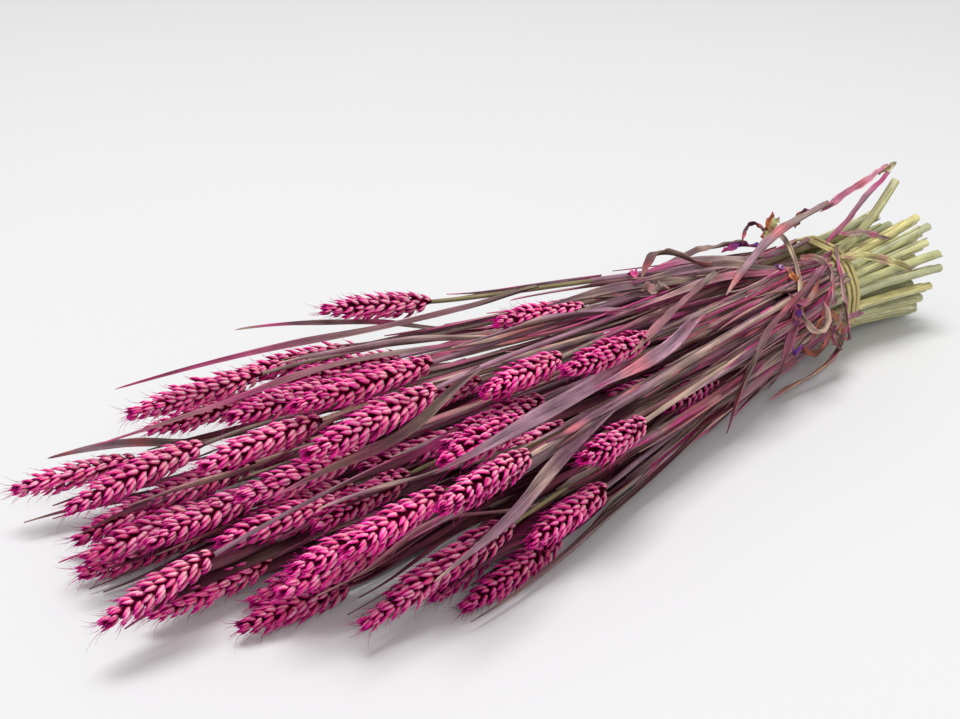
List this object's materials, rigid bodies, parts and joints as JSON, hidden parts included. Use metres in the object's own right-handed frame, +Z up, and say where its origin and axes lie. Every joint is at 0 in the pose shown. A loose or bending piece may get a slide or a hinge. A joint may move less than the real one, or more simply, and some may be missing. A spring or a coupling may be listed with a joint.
{
  "type": "bundle of dried wheat",
  "caption": "Bundle of dyed dried wheat lying on its side: long pointed ears on straight stalks with narrow leaves, gathered near the cut ends by a tie band.",
  "frame": {"origin": "middle of the bundle's footprint, on the surface it lies on", "axes": "+X from the ears to the cut ends of the stalks, +Z up"},
  "size_m": [0.642, 0.2282, 0.1136],
  "materials": {
    "ear": "dry matt husk, dyed magenta",
    "stalk": "dry matt straw, partly dyed",
    "tie": "matt straw-coloured elastic band"
  },
  "bodies": {
    "root": {"ear_01": "ear", "ear_02": "ear", "ear_03": "ear", "ear_04": "ear", "ear_05": "ear", "ear_06": "ear", "ear_07": "ear", "ear_08": "ear", "ear_09": "ear", "ear_10": "ear", "ear_11": "ear", "ear_12": "ear", "ear_13": "ear", "ear_14": "ear", "ear_15": "ear", "ear_16": "ear", "ear_17": "ear", "ear_18": "ear", "ear_19": "ear", "ear_20": "ear", "ear_21": "ear", "ear_22": "ear", "ear_23": "ear", "ear_24": "ear", "ear_25": "ear", "ear_26": "ear", "ear_27": "ear", "ear_28": "ear", "ear_29": "ear", "ear_30": "ear", "ear_31": "ear", "ear_32": "ear", "ear_33": "ear", "ear_34": "ear", "ear_35": "ear", "ear_36": "ear", "ear_37": "ear", "ear_38": "ear", "ear_39": "ear", "ear_40": "ear", "ear_41": "ear", "ear_42": "ear", "ear_43": "ear", "ear_44": "ear", "ear_45": "ear", "ear_46": "ear", "ear_47": "ear", "ear_48": "ear", "ear_49": "ear", "stalks_01": "stalk", "stalks_02": "stalk", "stalks_03": "stalk", "stalks_04": "stalk", "stalks_05": "stalk", "stalks_06": "stalk", "stalks_07": "stalk", "stalks_08": "stalk", "stalks_09": "stalk", "tie_band": "tie"}
  },
  "joints": []
}
